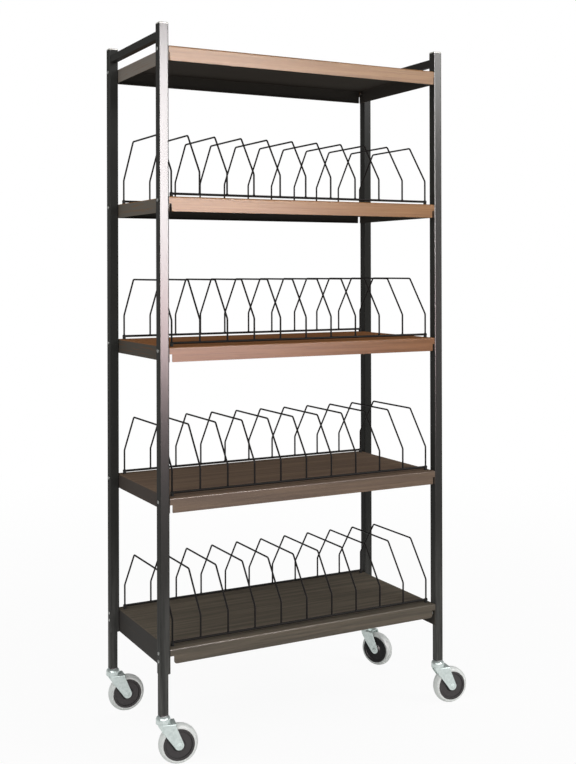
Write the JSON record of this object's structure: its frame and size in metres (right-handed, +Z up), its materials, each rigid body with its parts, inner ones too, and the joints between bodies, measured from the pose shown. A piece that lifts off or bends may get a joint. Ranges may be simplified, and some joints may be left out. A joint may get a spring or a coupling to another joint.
{
  "type": "medical chart rack",
  "caption": "Open rolling rack with woodgrain shelves, wire dividers for upright binders, square posts, push bars and swivel casters.",
  "frame": {"origin": "on the floor, under the middle of the box that holds the whole rack as it stands", "axes": "+X to the rack's right, +Y to its back, +Z up"},
  "size_m": [0.9484, 0.4446, 1.873],
  "materials": {
    "post_paint": "semi-gloss charcoal paint",
    "shelf_laminate": "walnut woodgrain cladding on sheet steel, dark paint below",
    "wire": "gloss dark bronze coating",
    "cap_plastic": "moulded grey plastic",
    "foot_rubber": "moulded black plastic",
    "socket_plastic": "moulded black plastic",
    "screw_steel": "zinc plated",
    "zinc": "bright zinc plating on pressed steel",
    "ball_steel": "polished",
    "core_plastic": "moulded black plastic",
    "tyre_rubber": "grey non-marking rubber"
  },
  "bodies": {
    "rack": {"post_left_front": "post_paint", "post_right_front": "post_paint", "post_left_back": "post_paint", "post_right_back": "post_paint", "post_caps": "cap_plastic", "push_bar_left": "post_paint", "push_bar_right": "post_paint", "top_shelf": "shelf_laminate", "chart_shelf_1": "shelf_laminate", "rail_wires_1": "wire", "divider_wires_1": "wire", "chart_shelf_2": "shelf_laminate", "rail_wires_2": "wire", "divider_wires_2": "wire", "chart_shelf_3": "shelf_laminate", "rail_wires_3": "wire", "divider_wires_3": "wire", "chart_shelf_4": "shelf_laminate", "rail_wires_4": "wire", "divider_wires_4": "wire", "rail_feet": "foot_rubber", "shelf_screws": "screw_steel", "shelf_nuts": "screw_steel", "stem_sockets": "socket_plastic", "caster_stems": "zinc", "swivel_cup_left_front": "zinc", "swivel_cup_right_front": "zinc", "swivel_cup_left_back": "zinc", "swivel_cup_right_back": "zinc"},
    "caster_left_front": {"fork_left_front": "zinc", "bearing_balls_left_front": "ball_steel", "axle_bolt_left_front": "zinc", "axle_nut_left_front": "zinc", "axle_sleeve_left_front": "zinc"},
    "wheel_left_front": {"wheel_core_left_front": "core_plastic", "wheel_tyre_left_front": "tyre_rubber"},
    "caster_right_front": {"fork_right_front": "zinc", "bearing_balls_right_front": "ball_steel", "axle_bolt_right_front": "zinc", "axle_nut_right_front": "zinc", "axle_sleeve_right_front": "zinc"},
    "wheel_right_front": {"wheel_core_right_front": "core_plastic", "wheel_tyre_right_front": "tyre_rubber"},
    "caster_left_back": {"fork_left_back": "zinc", "bearing_balls_left_back": "ball_steel", "axle_bolt_left_back": "zinc", "axle_nut_left_back": "zinc", "axle_sleeve_left_back": "zinc"},
    "wheel_left_back": {"wheel_core_left_back": "core_plastic", "wheel_tyre_left_back": "tyre_rubber"},
    "caster_right_back": {"fork_right_back": "zinc", "bearing_balls_right_back": "ball_steel", "axle_bolt_right_back": "zinc", "axle_nut_right_back": "zinc", "axle_sleeve_right_back": "zinc"},
    "wheel_right_back": {"wheel_core_right_back": "core_plastic", "wheel_tyre_right_back": "tyre_rubber"}
  },
  "joints": [
    {"name": "left_front_swivel", "type": "hinge", "parent": "rack", "child": "caster_left_front", "pos_m": [-0.45569, -0.1911, 0.1075], "axis": [0, 0, 1], "continuous": true},
    {"name": "left_front_wheel_spin", "type": "hinge", "parent": "caster_left_front", "child": "wheel_left_front", "pos_m": [-0.41852, -0.199, 0.0508], "axis": [0.2079, 0.9781, 0], "continuous": true},
    {"name": "right_front_swivel", "type": "hinge", "parent": "rack", "child": "caster_right_front", "pos_m": [0.38631, -0.1911, 0.1075], "axis": [0, 0, 1], "continuous": true},
    {"name": "right_front_wheel_spin", "type": "hinge", "parent": "caster_right_front", "child": "wheel_right_front", "pos_m": [0.42384, -0.19704, 0.0508], "axis": [0.1564, 0.9877, 0], "continuous": true},
    {"name": "left_back_swivel", "type": "hinge", "parent": "rack", "child": "caster_left_back", "pos_m": [-0.45569, 0.1969, 0.1075], "axis": [0, 0, 1], "continuous": true},
    {"name": "left_back_wheel_spin", "type": "hinge", "parent": "caster_left_back", "child": "wheel_left_back", "pos_m": [-0.41784, 0.19359, 0.0508], "axis": [0.0872, 0.9962, 0], "continuous": true},
    {"name": "right_back_swivel", "type": "hinge", "parent": "rack", "child": "caster_right_back", "pos_m": [0.38631, 0.1969, 0.1075], "axis": [0, 0, 1], "continuous": true},
    {"name": "right_back_wheel_spin", "type": "hinge", "parent": "caster_right_back", "child": "wheel_right_back", "pos_m": [0.40415, 0.16335, 0.0508], "axis": [0.8829, 0.4695, 0], "continuous": true}
  ]
}
